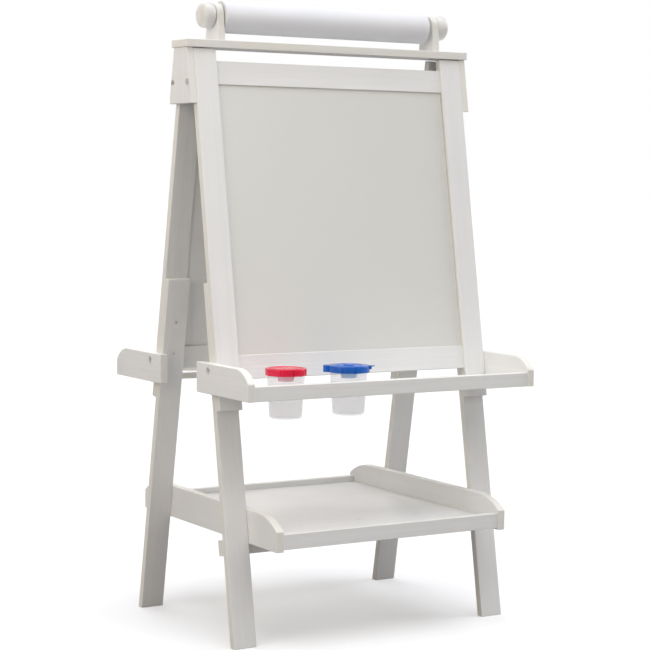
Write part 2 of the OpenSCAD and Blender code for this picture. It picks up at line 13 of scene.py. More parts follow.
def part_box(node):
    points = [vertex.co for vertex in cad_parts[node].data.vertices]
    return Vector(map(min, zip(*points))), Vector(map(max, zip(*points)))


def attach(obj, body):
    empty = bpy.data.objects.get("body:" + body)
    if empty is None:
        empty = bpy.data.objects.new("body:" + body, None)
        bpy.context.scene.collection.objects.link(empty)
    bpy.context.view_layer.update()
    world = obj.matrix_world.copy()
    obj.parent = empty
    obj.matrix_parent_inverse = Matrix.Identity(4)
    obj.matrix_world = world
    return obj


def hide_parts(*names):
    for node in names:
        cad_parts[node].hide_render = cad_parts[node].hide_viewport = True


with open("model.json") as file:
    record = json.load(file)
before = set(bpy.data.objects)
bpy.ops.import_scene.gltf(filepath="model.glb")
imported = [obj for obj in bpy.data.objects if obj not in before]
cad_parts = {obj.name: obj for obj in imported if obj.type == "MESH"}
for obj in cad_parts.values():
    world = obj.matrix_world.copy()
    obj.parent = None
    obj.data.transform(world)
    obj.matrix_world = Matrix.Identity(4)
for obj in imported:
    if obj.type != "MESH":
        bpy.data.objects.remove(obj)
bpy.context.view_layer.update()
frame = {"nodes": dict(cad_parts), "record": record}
nodes = frame["nodes"]
scene = bpy.context.scene
LEAN = math.radians(9.9)


# ---------- camera ----------

def add_camera():
    yaw, pitch, roll = math.radians(30.98), math.radians(-4.38), math.radians(0.59)
    forward = Vector((math.sin(yaw) * math.cos(pitch), math.cos(yaw) * math.cos(pitch),
                      math.sin(pitch)))
    level = Vector((math.cos(yaw), -math.sin(yaw), 0))
    rise = level.cross(forward)
    right = level * math.cos(roll) + rise * math.sin(roll)
    up = rise * math.cos(roll) - level * math.sin(roll)
    data = bpy.data.cameras.new("photo_camera")
    data.sensor_width = 36
    data.lens = 105.69102
    camera = bpy.data.objects.new("photo_camera", data)
    turn = Matrix((right, up, -forward)).transposed().to_4x4()
    camera.matrix_world = Matrix.Translation((-1.9356, -3.2361, 0.8626)) @ turn
    scene.collection.objects.link(camera)
    scene.camera = camera


add_camera()


# ---------- shader helpers ----------

class Shader:
    """A material with one Principled shader, and short calls for the nodes that feed it."""

    def __init__(self, name, **values):
        self.material = bpy.data.materials.new(name)
        self.material.use_nodes = True
        self.tree = self.material.node_tree
        self.surface = self.tree.nodes["Principled BSDF"]
        for key, value in values.items():
            self.set(key.replace("_", " "), value)

    def set(self, socket, value):
        self.feed(self.surface.inputs[socket], value)

    def feed(self, target, value):
        if isinstance(value, bpy.types.NodeSocket):
            self.tree.links.new(value, target)
        elif isinstance(value, (tuple, list)) and target.type == "RGBA" and len(value) == 3:
            target.default_value = (*value, 1)
        else:
            target.default_value = value

    def node(self, kind, inputs=None, **props):
        made = self.tree.nodes.new("ShaderNode" + kind)
        for key, value in props.items():
            setattr(made, key, value)
        for key, value in (inputs or {}).items():
            self.feed(made.inputs[key], value)
        return made

    def attribute(self, name, output="Vector"):
        return self.node("Attribute", attribute_name=name).outputs[output]

    def place(self):
        return self.node("TexCoord").outputs["Object"]

    def scaled(self, vector, scale):
        return self.node("VectorMath", {0: vector, 1: scale}, operation="MULTIPLY").outputs[0]

    def noise(self, vector, scale=1.0, detail=2.0, rough=0.5, distortion=0.0):
        made = self.node("TexNoise", {"Vector": vector, "Scale": scale, "Detail": detail,
                                      "Roughness": rough, "Distortion": distortion})
        return made.outputs["Fac"]

    def ramp(self, value, low, high, out_low=0.0, out_high=1.0):
        made = self.node("MapRange", {"Value": value, "From Min": low, "From Max": high,
                                      "To Min": out_low, "To Max": out_high})
        made.clamp = True
        return made.outputs["Result"]

    def math(self, operation, a, b=0.0):
        return self.node("Math", {0: a, 1: b}, operation=operation).outputs[0]

    def mix(self, factor, a, b, blend="MIX"):
        made = self.node("Mix", data_type="RGBA", blend_type=blend)
        self.feed(made.inputs["Factor"], factor)
        self.feed(made.inputs[6], a)
        self.feed(made.inputs[7], b)
        return made.outputs[2]

    def bump(self, height, depth, normal=None):
        made = self.node("Bump", {"Strength": 1.0, "Distance": depth, "Height": height})
        if normal is not None:
            self.feed(made.inputs["Normal"], normal)
        return made.outputs["Normal"]


def painted_wood(name, paint, warm_shade_tint, roughness=0.42):
    """Satin paint on wood. The grain runs along the first axis of the board's own coordinates. The
    narrow edge faces get a cream tint that is painted warm shade.
    """
    s = Shader(name, IOR=1.48)
    board = s.attribute("board")
    edge = s.attribute("edge", "Fac")
    streak = s.noise(s.scaled(board, (7.0, 420.0, 420.0)), detail=3, rough=0.62, distortion=0.25)
    pores = s.noise(s.scaled(board, (28.0, 1500.0, 1500.0)), detail=2)
    rings = s.noise(s.scaled(board, (1.6, 70.0, 70.0)), detail=1, distortion=0.9)
    roller = s.noise(board, scale=850.0, detail=2, rough=0.6)
    cloud = s.noise(board, scale=9.0, detail=3)
    flecks = s.noise(board, scale=330.0, detail=1)
    # painted warm shade: a cream tint on the narrow edge faces, patchy with the cloud noise
    warm_shade_mask = s.math("MULTIPLY", edge, s.ramp(cloud, 0.35, 0.7, 0.45, 1.0))
    colour = s.mix(warm_shade_mask, paint, warm_shade_tint)
    lines = s.math("ADD", s.math("MULTIPLY", streak, 0.55), s.math("MULTIPLY", rings, 0.45))
    shade = s.ramp(lines, 0.32, 0.68, 0.955, 1.0)
    tone = s.ramp(cloud, 0.3, 0.7, 0.975, 1.0)
    tone = s.math("MULTIPLY", tone, shade)
    tone = s.math("MULTIPLY", tone, s.ramp(flecks, 0.74, 0.80, 1.0, 0.93))
    grey = s.node("CombineColor", {0: tone, 1: tone, 2: tone}).outputs[0]
    s.set("Base Color", s.mix(1.0, colour, grey, "MULTIPLY"))
    gloss = s.math("ADD", s.ramp(streak, 0.3, 0.7, -0.05, 0.06),
                   s.ramp(cloud, 0.3, 0.7, -0.04, 0.05))
    s.set("Roughness", s.math("ADD", gloss, roughness))
    normal = s.bump(streak, 0.00022)
    normal = s.bump(pores, 0.00005, normal)
    normal = s.bump(rings, 0.0005, normal)
    s.set("Normal", s.bump(roller, 0.00007, normal))
    return s.material


def whiteboard_face():
    """Melamine: a smooth glossy film with the faint haze that a cleaning cloth leaves."""
    s = Shader("whiteboard_face", IOR=1.5, Coat_Weight=0.35, Coat_Roughness=0.12)
    board = s.attribute("board")
    swirl = s.noise(s.scaled(board, (14.0, 30.0, 30.0)), detail=4, rough=0.6, distortion=1.6)
    cloud = s.noise(board, scale=3.2, detail=2)
    dust = s.noise(board, scale=620.0, detail=1)
    haze = s.ramp(s.math("MULTIPLY", swirl, s.ramp(cloud, 0.3, 0.7, 0.7, 1.1)), 0.38, 0.62)
    colour = s.mix(haze, (0.762, 0.765, 0.728), (0.757, 0.761, 0.726))
    s.set("Base Color", s.mix(s.ramp(dust, 0.77, 0.8), colour, (0.60, 0.59, 0.56)))
    s.set("Roughness", s.ramp(haze, 0.0, 1.0, 0.30, 0.315))
    s.set("Normal", s.bump(s.noise(board, scale=260.0, detail=1), 0.00002))
    return s.material


def chalkboard_face():
    """Blackboard paint with chalk rubbed into it by wide sweeps of an eraser."""
    s = Shader("chalkboard_face", IOR=1.45)
    board = s.attribute("board")
    sweep = s.noise(s.scaled(board, (4.0, 7.0, 7.0)), detail=4, rough=0.55, distortion=1.1)
    fine = s.noise(s.scaled(board, (60.0, 240.0, 240.0)), detail=3, rough=0.7, distortion=0.8)
    tooth = s.noise(board, scale=1400.0, detail=2, rough=0.7)
    chalk = s.math("MULTIPLY", s.ramp(sweep, 0.42, 0.72), s.ramp(fine, 0.3, 0.75, 0.25, 1.0))
    chalk = s.math("MULTIPLY", chalk, s.ramp(tooth, 0.35, 0.6, 0.5, 1.0))
    s.set("Base Color", s.mix(chalk, (0.024, 0.028, 0.028), (0.105, 0.11, 0.107)))
    s.set("Roughness", s.ramp(chalk, 0.0, 0.6, 0.62, 0.92))
    s.set("Normal", s.bump(tooth, 0.00008))
    return s.material


def hardboard_back():
    """The unseen side of a drawing board: thin white paint over pressed fibre."""
    s = Shader("hardboard_back", IOR=1.45)
    board = s.attribute("board")
    fibre = s.noise(s.scaled(board, (300.0, 520.0, 520.0)), detail=4, rough=0.7, distortion=0.7)
    cloud = s.noise(board, scale=6.0, detail=3)
    colour = s.mix(s.ramp(fibre, 0.3, 0.7), (0.80, 0.80, 0.785), (0.85, 0.85, 0.84))
    s.set("Base Color", s.mix(s.ramp(cloud, 0.45, 0.75, 0.0, 0.4), colour, (0.76, 0.755, 0.73)))
    s.set("Roughness", s.ramp(fibre, 0.3, 0.7, 0.5, 0.66))
    s.set("Normal", s.bump(fibre, 0.00012))
    return s.material


def beech():
    """Bare turned beech, its grain along X, with short dark flecks."""
    s = Shader("bare_beech", IOR=1.45)
    place = s.place()
    grain = s.noise(s.scaled(place, (9.0, 520.0, 520.0)), detail=4, rough=0.6, distortion=0.4)
    fleck = s.noise(s.scaled(place, (160.0, 1900.0, 1900.0)), detail=1)
    colour = s.mix(s.ramp(grain, 0.3, 0.7), (0.50, 0.345, 0.195), (0.64, 0.475, 0.30))
    s.set("Base Color", s.mix(s.ramp(fleck, 0.66, 0.74), colour, (0.32, 0.20, 0.11)))
    s.set("Roughness", s.ramp(grain, 0.3, 0.7, 0.5, 0.66))
    s.set("Normal", s.bump(grain, 0.00015))
    return s.material


def drawing_paper():
    """Uncoated paper: faint fibres over the roll, and the edges of its turns on the ends."""
    s = Shader("drawing_paper", IOR=1.4)
    place = s.place()
    fibre = s.noise(s.scaled(place, (900.0, 900.0, 900.0)), detail=3, rough=0.7)
    cloud = s.noise(place, scale=16.0, detail=3)
    layers = s.attribute("layer", "Fac")
    turns = s.noise(s.node("CombineXYZ", {0: s.math("MULTIPLY", layers, 2600.0)}).outputs[0],
                    detail=3, rough=0.75)
    on_end = s.attribute("on_end", "Fac")
    colour = s.mix(s.ramp(cloud, 0.35, 0.65), (0.77, 0.78, 0.812), (0.80, 0.81, 0.833))
    colour = s.mix(s.ramp(fibre, 0.62, 0.8, 0.0, 0.25), colour, (0.74, 0.745, 0.76))
    edges = s.mix(s.ramp(turns, 0.3, 0.7), (0.66, 0.655, 0.65), (0.83, 0.83, 0.83))
    s.set("Base Color", s.mix(on_end, colour, edges))
    s.set("Roughness", s.ramp(fibre, 0.3, 0.7, 0.62, 0.78))
    height = s.math("ADD", s.math("MULTIPLY", fibre, 0.25), s.math("MULTIPLY", turns, on_end))
    s.set("Normal", s.bump(height, 0.00014))
    return s.material


def card_core():
    """Brown card wound into a tube, its fibres round the tube."""
    s = Shader("card_core", IOR=1.4)
    place = s.place()
    fibre = s.noise(s.scaled(place, (260.0, 900.0, 900.0)), detail=4, rough=0.7, distortion=0.6)
    colour = s.mix(s.ramp(fibre, 0.3, 0.7), (0.26, 0.17, 0.10), (0.42, 0.30, 0.19))
    s.set("Base Color", colour)
    s.set("Roughness", s.ramp(fibre, 0.3, 0.7, 0.75, 0.9))
    s.set("Normal", s.bump(fibre, 0.0002))
    return s.material


def zinc_steel():
    """Zinc-plated steel: pale, dull and slightly cloudy, with turning marks."""
    s = Shader("zinc_steel", Metallic=0.55)
    place = s.place()
    cloud = s.noise(place, scale=420.0, detail=3)
    marks = s.noise(s.scaled(place, (300.0, 3200.0, 3200.0)), detail=2)
    s.set("Base Color", s.mix(s.ramp(cloud, 0.3, 0.7), (0.74, 0.74, 0.72), (0.84, 0.835, 0.81)))
    s.set("Roughness", s.ramp(cloud, 0.3, 0.7, 0.38, 0.52))
    s.set("Normal", s.bump(marks, 0.00004))
    return s.material


def brass():
    """Brass of the threaded inserts, slightly cloudy."""
    s = Shader("brass_insert", Metallic=1.0)
    place = s.place()
    cloud = s.noise(place, scale=500.0, detail=3)
    s.set("Base Color", s.mix(s.ramp(cloud, 0.3, 0.7), (0.60, 0.42, 0.17), (0.74, 0.56, 0.27)))
    s.set("Roughness", s.ramp(cloud, 0.3, 0.7, 0.28, 0.46))
    return s.material


def coloured_plastic(name, deep, bright):
    """Glossy moulded plastic with a fine spark texture and faint flow marks."""
    s = Shader(name, IOR=1.49)
    place = s.place()
    flow = s.noise(s.scaled(place, (22.0, 22.0, 60.0)), detail=3, distortion=1.2)
    spark = s.noise(place, scale=1500.0, detail=2, rough=0.6)
    s.set("Base Color", s.mix(s.ramp(flow, 0.3, 0.7), deep, bright))
    s.set("Roughness", s.math("ADD", s.ramp(flow, 0.3, 0.7, 0.13, 0.2),
                              s.ramp(spark, 0.3, 0.7, 0.0, 0.06)))
    s.set("Normal", s.bump(spark, 0.00003))
    return s.material


def pot_plastic():
    """Frosted translucent plastic, slightly warm, with a moulded matt skin."""
    s = Shader("pot_plastic", IOR=1.5, Alpha=0.215)
    place = s.place()
    flow = s.noise(s.scaled(place, (30.0, 30.0, 12.0)), detail=3, distortion=0.8)
    frost = s.noise(place, scale=1300.0, detail=2, rough=0.6)
    s.set("Base Color", s.mix(s.ramp(flow, 0.3, 0.7), (0.92, 0.885, 0.87), (0.95, 0.93, 0.92)))
    s.set("Roughness", s.ramp(frost, 0.3, 0.7, 0.42, 0.54))
    s.set("Normal", s.bump(frost, 0.00005))
    return s.material


WHITE_PAINT = (0.86, 0.86, 0.85)
# cream laid on the boards' narrow edge faces as painted warm shade
EDGE_SHADE_CREAM = (0.83, 0.815, 0.745)
PAINT = painted_wood("painted_wood", WHITE_PAINT, EDGE_SHADE_CREAM)
WHITEBOARD = whiteboard_face()
CHALKBOARD = chalkboard_face()
HARDBOARD = hardboard_back()
BEECH = beech()
PAPER = drawing_paper()
CARD = card_core()
ZINC = zinc_steel()
BRASS = brass()
POT = pot_plastic()
RED = coloured_plastic("red_plastic", (0.66, 0.003, 0.035), (0.78, 0.006, 0.055))
BLUE = coloured_plastic("blue_plastic", (0.002, 0.085, 0.42), (0.003, 0.125, 0.56))
# funnels: paler and brighter than the lids, a painted glow that stands in for light coming through
# the thin plastic
RED_FUNNEL_GLOW = coloured_plastic("red_funnel_glow_plastic", (0.96, 0.26, 0.42), (0.98, 0.32, 0.48))
BLUE_FUNNEL_GLOW = coloured_plastic("blue_funnel_glow_plastic", (0.16, 0.50, 0.95), (0.20, 0.56, 0.98))


# ---------- mesh helpers ----------

def add_piece(name, mesh, body, slot, *materials):
    piece = bpy.data.objects.new(name, mesh)
    scene.collection.objects.link(piece)
    for material in materials:
        mesh.materials.append(material)
    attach(piece, body)
    return piece


def store(mesh, name, kind, domain, values):
    attribute = mesh.attributes.new(name, kind, domain)
    key = "vector" if kind == "FLOAT_VECTOR" else "value"
    attribute.data.foreach_set(key, np.asarray(values, np.float32).ravel())


def shade_smooth(mesh, sharp=None):
    """Smooth shading, with edges over sharp degrees kept sharp."""
    mesh.polygons.foreach_set("use_smooth", [True] * len(mesh.polygons))
    if sharp is not None:
        mesh.set_sharp_from_angle(angle=math.radians(sharp))


def keep_flats(piece):
    """Smooth shading that leaves the large flat faces flat and the holes' rims sharp."""
    shade_smooth(piece.data, 50)
    weighted = piece.modifiers.new("flat_faces", "WEIGHTED_NORMAL")
    weighted.keep_sharp = True
    weighted.weight = 80


FLAT = math.radians(0.4)   # faces this close to level are merged
FOLD = math.radians(30)    # edges that turn more than this are rounded
CUP_RIM = 0.008            # longer than any facet of a cup hole's rim


def hull_edges(bm):
    """The sharp edges of a mesh's convex hull, as pairs of points."""
    shell = bmesh.new()
    for vert in bm.verts:
        shell.verts.new(vert.co)
    made = bmesh.ops.convex_hull(shell, input=shell.verts)
    spare = [v for v in shell.verts if not v.link_faces]
    bmesh.ops.delete(shell, geom=spare, context="VERTS")
    bmesh.ops.dissolve_limit(shell, angle_limit=FLAT, verts=shell.verts, edges=shell.edges)
    pairs = [(e.verts[0].co.copy(), e.verts[1].co.copy()) for e in shell.edges
             if len(e.link_faces) == 2 and e.calc_face_angle() > FOLD]
    shell.free()
    return pairs


def near_segment(point, ends, reach=6e-5):
    """Whether a point lies on the line between two ends, within reach."""
    a, b = ends
    along = b - a
    t = max(0.0, min(1.0, (point - a).dot(along) / along.length_squared))
    return (a + along * t - point).length < reach


def eased_mesh(node, radius, segments=3):
    """A copy of a CAD board with the edges of its outline and of its cup holes rounded."""
    bm = bmesh.new()
    bm.from_mesh(nodes[node].data)
    bmesh.ops.remove_doubles(bm, verts=bm.verts, dist=2e-6)
    bmesh.ops.dissolve_limit(bm, angle_limit=FLAT, verts=bm.verts, edges=bm.edges)
    outline = hull_edges(bm)
    rim = CUP_RIM if node.endswith("tray_base") else 0.0
    picked = [e for e in bm.edges
              if len(e.link_faces) == 2 and e.calc_face_angle() > FOLD and e.is_convex
              and (e.calc_length() < rim
                   or any(near_segment(e.verts[0].co, o) and near_segment(e.verts[1].co, o)
                          for o in outline))]
    bmesh.ops.bevel(bm, geom=picked, offset=radius, offset_type="OFFSET", segments=segments,
                    profile=0.5, affect="EDGES", clamp_overlap=False, loop_slide=False)
    mesh = bpy.data.meshes.new(node + "_board")
    bm.to_mesh(mesh)
    bm.free()
    return mesh


def mark_board(mesh, grain, thick, seed):
    """Stores the board's own coordinates (grain first) and which faces are its edges."""
    grain, thick = Vector(grain).normalized(), Vector(thick).normalized()
    wide = thick.cross(grain)
    turn = np.array((grain, wide, thick))
    points = np.array([v.co for v in mesh.vertices])
    shift = random.Random(seed).uniform(1, 9)
    store(mesh, "board", "FLOAT_VECTOR", "POINT", points @ turn.T + shift)
    normals = np.array([p.normal for p in mesh.polygons])
    store(mesh, "edge", "FLOAT", "FACE", np.abs(normals @ np.array(thick)) < 0.4)


# ---------- painted boards ----------

UPRIGHT = {"front": (0, math.sin(LEAN), math.cos(LEAN)),
           "rear": (0, -math.sin(LEAN), math.cos(LEAN))}
FACING = {"front": (0, -math.cos(LEAN), math.sin(LEAN)),
          "rear": (0, math.cos(LEAN), math.sin(LEAN))}
X, Y, Z = (1, 0, 0), (0, 1, 0), (0, 0, 1)


def board_axes(name):
    """Which way a board's grain runs, and which way it is thin."""
    side = name.split("_")[0]
    if name.endswith(("stile", "leg")):
        return UPRIGHT[side], FACING[side]
    if name.endswith(("top_rail", "bottom_rail")):
        return X, FACING[side]
    if name.endswith("side_plate"):
        return Z, X
    if name.endswith(("end", "shelf_side")):
        return Y, X
    if name.endswith("roll_bracket"):
        return Z, X
    if name.endswith(("rail", "batten")):
        return X, Y
    return X, Z


BOARDS = [n for n in frame["record"]["behaviour"]["bodies"]["easel"]
          if n.endswith(("stile", "leg", "rail", "plate", "top_board", "bracket", "_end",
                         "tray_base", "shelf_base", "shelf_side", "batten"))]
for number, name in enumerate(BOARDS):
    soft = 0.0011 if name.endswith(("rail", "base", "batten")) else 0.0015
    mesh = eased_mesh(name, soft)
    mark_board(mesh, *board_axes(name), seed=number)
    board = add_piece(name + "_painted", mesh, "easel", "painted_wood", PAINT)
    keep_flats(board)
    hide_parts(name)


# ---------- drawing boards ----------

def drawing_board(node, side, face, slot):
    mesh = eased_mesh(node, 0.0004, 2)
    mark_board(mesh, X, FACING[side], seed=node)
    piece = add_piece(node + "_panel", mesh, "easel", slot, HARDBOARD, face)
    front = Vector(FACING[side])
    for polygon in mesh.polygons:
        polygon.material_index = int(polygon.normal.dot(front) > 0.5)
    keep_flats(piece)
    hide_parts(node)


drawing_board("whiteboard", "front", WHITEBOARD, "whiteboard_face")
drawing_board("chalkboard", "rear", CHALKBOARD, "chalkboard_face")


# ---------- fasteners ----------

def finish_nodes(names, material, width):
    """Gives CAD nodes a material, and softens their edges a little."""
    for name in names:
        o = nodes[name]
        o.data.materials.clear()
        o.data.materials.append(material)
        bevel = o.modifiers.new("edge", "BEVEL")
        bevel.width = width
        bevel.segments = 2
        bevel.limit_method = "ANGLE"
        bevel.angle_limit = math.radians(35)
        bevel.use_clamp_overlap = True
        bevel.harden_normals = False


PAINTED_OVER = "shelf_side_screws"
finish_nodes([n for n in nodes if n.endswith(("screws", "bolts")) and n != PAINTED_OVER],
             ZINC, 0.00025)
finish_nodes([PAINTED_OVER], PAINT, 0.00025)
finish_nodes(["threaded_inserts"], BRASS, 0.0002)
finish_nodes(["tray_dowels", "shelf_dowels", "dowel_rod"], BEECH, 0.0005)
finish_nodes(["roll_core"], CARD, 0.0002)


# ---------- turned and moulded parts ----------

def lathe(profile, centre, closed=True, turns=96):
    """Turns a profile of (radius, height) points about a vertical axis through centre. A closed
    profile joins its last point to its first; points at radius 0 close to a pole."""
    bm = bmesh.new()
    rings = []
    for radius, height in profile:
        if radius < 1e-7:
            rings.append([bm.verts.new((0, 0, height))])
        else:
            rings.append([bm.verts.new((radius * math.cos(a), radius * math.sin(a), height))
                          for a in (2 * math.pi * k / turns for k in range(turns))])
    pairs = list(zip(rings, rings[1:] + rings[:1])) if closed else list(zip(rings, rings[1:]))
    for low, high in pairs:
        if len(low) == 1 and len(high) == 1:
            continue
        for k in range(turns):
            n = (k + 1) % turns
            if len(low) == 1:
                bm.faces.new((low[0], high[n], high[k]))
            elif len(high) == 1:
                bm.faces.new((low[k], low[n], high[0]))
            else:
                bm.faces.new((low[k], low[n], high[n], high[k]))
    bmesh.ops.recalc_face_normals(bm, faces=bm.faces)
    bmesh.ops.transform(bm, matrix=Matrix.Translation(centre), verts=bm.verts)
    mesh = bpy.data.meshes.new("turned")
    bm.to_mesh(mesh)
    bm.free()
    return mesh


def arc(centre, radius, start, end, steps):
    """Points of an arc in a profile, from start to end degrees."""
    return [(centre[0] + radius * math.cos(math.radians(a)),
             centre[1] + radius * math.sin(math.radians(a)))
            for a in (start + (end - start) * k / steps for k in range(steps + 1))]


def knob_profile():
    """A thick disc with a bulging side and a domed crown, which carries fine turned rings."""
    widest, middle, length, bore, socket = 0.0245, 0.012, 0.0265, 0.01005, 0.014
    fullness, steps = 2 / 3.2, 150
    rings, ring_depth, ring_width = (0.0055, 0.0098, 0.0140, 0.0178), 0.0002, 0.0003
    points = [(bore, 0.0010), (bore + 0.0010, 0.0), (0.0196, 0.0), (0.0206, 0.0003),
              (0.0213, 0.0010)]
    low = math.degrees(math.asin((0.0018 - middle) / widest))
    points += arc((0.0, middle), widest, low, -3, 14)
    for k in range(steps):
        t = math.pi / 2 * k / steps
        radius = widest * math.cos(t) ** fullness
        height = middle + (length - middle) * math.sin(t) ** fullness
        groove = sum(ring_depth * math.exp(-((radius - ring) / ring_width) ** 2)
                     for ring in rings)
        points.append((radius, height - groove))
    points += [(0.0014, length - 0.0001), (0.0009, length - 0.0006), (0.0, length - 0.0008)]
    return points + [(0.0, socket), (bore, socket)]


# the second colour is painted warm shade on the knob's faces marked as edges
KNOB_PAINT = painted_wood("painted_knob", (0.80, 0.795, 0.775), (0.775, 0.765, 0.73), 0.34)


def add_knob(node, body):
    """A turned knob over a CAD knob, its socket towards the middle of the easel."""
    low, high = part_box(node)
    middle = (low + high) / 2
    mesh = lathe(knob_profile(), (0, 0, 0))
    right = middle.x > 0
    turn = Matrix.Rotation(math.pi / 2 if right else -math.pi / 2, 4, "Y")
    foot = low.x if right else high.x
    mesh.transform(Matrix.Translation((foot, middle.y, middle.z)) @ turn)
    mark_board(mesh, X, Z, seed=node)
    knob = add_piece(node + "_turned", mesh, body, "painted_knob", KNOB_PAINT)
    shade_smooth(mesh)
    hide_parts(node)


add_knob("left_knob", "spindle")
add_knob("right_knob", "end_knob")


# ---------- paper roll ----------

def paper_roll():
    """Paper wound in a spiral: its free edge stands a little proud, and its ends show the
    turns where they have slipped past each other."""
    low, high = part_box("paper_roll")
    centre = (low + high) / 2
    half, outer, inner = (high.x - low.x) / 2, (high.z - low.z) / 2, 0.0153
    turns, rings, spans, step = 144, 26, 40, 0.00045
    bare, end_gap, shoulder = 0.0007, 0.0005, 0.0016
    rng = random.Random(11)
    slip = [rng.uniform(-1, 1) for _ in range(rings + 1)]
    slip = [0.00035 * (0.6 * s + 0.4 * math.sin(k * 0.9)) for k, s in enumerate(slip)]
    edge_turn = math.radians(-38)

    def radius_at(k, x):
        share = ((2 * math.pi * k / turns - edge_turn) / (2 * math.pi)) % 1.0
        lift = 0.0005 * math.exp(-((share / 0.016) ** 2))
        loose = 0.00012 * math.sin(5.1 * x / half + 3 * share * 2 * math.pi)
        return outer - bare - step * share + lift + loose * 0.5

    bm = bmesh.new()
    layer = bm.verts.layers.float.new("layer")
    on_end = bm.verts.layers.float.new("on_end")

    def ring(x, share_in, end_flag):
        made = []
        for k in range(turns):
            a = 2 * math.pi * k / turns
            outside = radius_at(k, x)
            r = inner + (outside - inner) * share_in
            vert = bm.verts.new(centre + Vector((x, r * math.cos(a), r * math.sin(a))))
            vert[layer] = r
            vert[on_end] = end_flag
            made.append(vert)
        return made

    loops = []
    for k in range(rings + 1):
        x = -half + end_gap + abs(slip[k])
        loops.append(ring(x, k / rings, 1.0))
    for k in range(spans + 1):
        x = (-half + shoulder) + (2 * half - 2 * shoulder) * k / spans
        loops.append(ring(x, 1.0, 0.0))
    for k in range(rings, -1, -1):
        x = half - end_gap - abs(slip[k])
        loops.append(ring(x, k / rings, 1.0))
    for a, b in zip(loops, loops[1:] + loops[:1]):
        for k in range(turns):
            n = (k + 1) % turns
            bm.faces.new((a[k], a[n], b[n], b[k]))
    bmesh.ops.recalc_face_normals(bm, faces=bm.faces)
    mesh = bpy.data.meshes.new("paper_wound")
    bm.to_mesh(mesh)
    bm.free()
    shade_smooth(mesh, 40)
    roll = add_piece("paper_wound", mesh, "paper", "drawing_paper", PAPER)
    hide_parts("paper_roll")


paper_roll()


# ---------- paint pots ----------

FOOT_R, WAIST_R, RIM_R = 0.0306, 0.0337, 0.0366
WAIST_H, POT_H, WALL = 0.055, 0.089, 0.0016


def pot_mesh(centre, foot_z):
    """A thin-walled pot with a waist where it passes the tray, and a rounded foot and rim."""
    foot_round, rim_drop, rows = 0.0042, 0.0032, 23

    def out(z):
        if z < WAIST_H:
            return FOOT_R + (WAIST_R - FOOT_R) * z / WAIST_H
        return WAIST_R + (RIM_R - WAIST_R) * (z - WAIST_H) / (POT_H - WAIST_H)

    outside = [(0.0, 0.0012), (0.022, 0.0012), (0.0232, 0.0)]
    outside += arc((FOOT_R - foot_round, foot_round), foot_round, -86, -4, 8)
    for k in range(1, rows + 1):
        z = foot_round + (POT_H - foot_round - rim_drop) * k / rows
        outside.append((out(z), z))
    outside += [(RIM_R, POT_H - 0.0029), (RIM_R, POT_H - 0.0008),
                (RIM_R - 0.0005, POT_H - 0.0001), (RIM_R - 0.0012, POT_H - 0.0001)]
    inside = [(out(z) - WALL, z) for z in (POT_H - 0.002, POT_H * 0.66, POT_H * 0.33, 0.007)]
    inside += arc((FOOT_R - 0.0055, 0.0055), 0.0036, 0, -90, 6)
    inside.append((0.0, WALL + 0.0003))
    return lathe(outside + inside, (centre.x, centre.y, foot_z), closed=False)


def funnel_mesh(centre, foot_z):
    """The non-spill funnel: a dish that hangs from the pot's rim and runs into a neck."""
    top = POT_H
    profile = [(0.0130, top - 0.0196), (0.0134, top - 0.0200), (0.0141, top - 0.0200),
               (0.0145, top - 0.0196), (0.0152, top - 0.0150), (0.0180, top - 0.0090),
               (0.0230, top - 0.0055), (0.0295, top - 0.0022), (0.0336, top - 0.0002),
               (0.0340, top + 0.0001), (0.0359, top + 0.0001), (0.0365, top + 0.0004),
               (0.0365, top + 0.0011), (0.0361, top + 0.0014), (0.0339, top + 0.0014),
               (0.0331, top + 0.0011), (0.0286, top - 0.0008), (0.0225, top - 0.0040),
               (0.0168, top - 0.0078), (0.0137, top - 0.0146)]
    return lathe(profile, (centre.x, centre.y, foot_z))


LID_TURNS, LID_H, LOBES = 360, 0.0125, 10


def lid_outline(base, lobe_depth, phase, extras=()):
    """Radii round a lid: equal, nearly flat lobes that meet in grooves, and any wider bumps,
    each as (angle, half width, reach)."""
    radii, lobes = [], LOBES
    for k in range(LID_TURNS):
        a = 2 * math.pi * k / LID_TURNS
        share = ((a - phase) / (2 * math.pi) * lobes) % 1.0
        lobe = abs(math.sin(math.pi * share)) ** 0.3
        flat = math.cos(math.pi / lobes) / math.cos((share - 0.5) * 2 * math.pi / lobes)
        r = base * (0.4 + 0.6 * flat) - lobe_depth * (1 - lobe)
        for at, half_width, reach in extras:
            off = (a - at + math.pi) % (2 * math.pi) - math.pi
            if abs(off) < half_width:
                r = max(r, base + (reach - base) * (1 - (abs(off) / half_width) ** 4) ** 0.5)
        radii.append(r)
    return radii


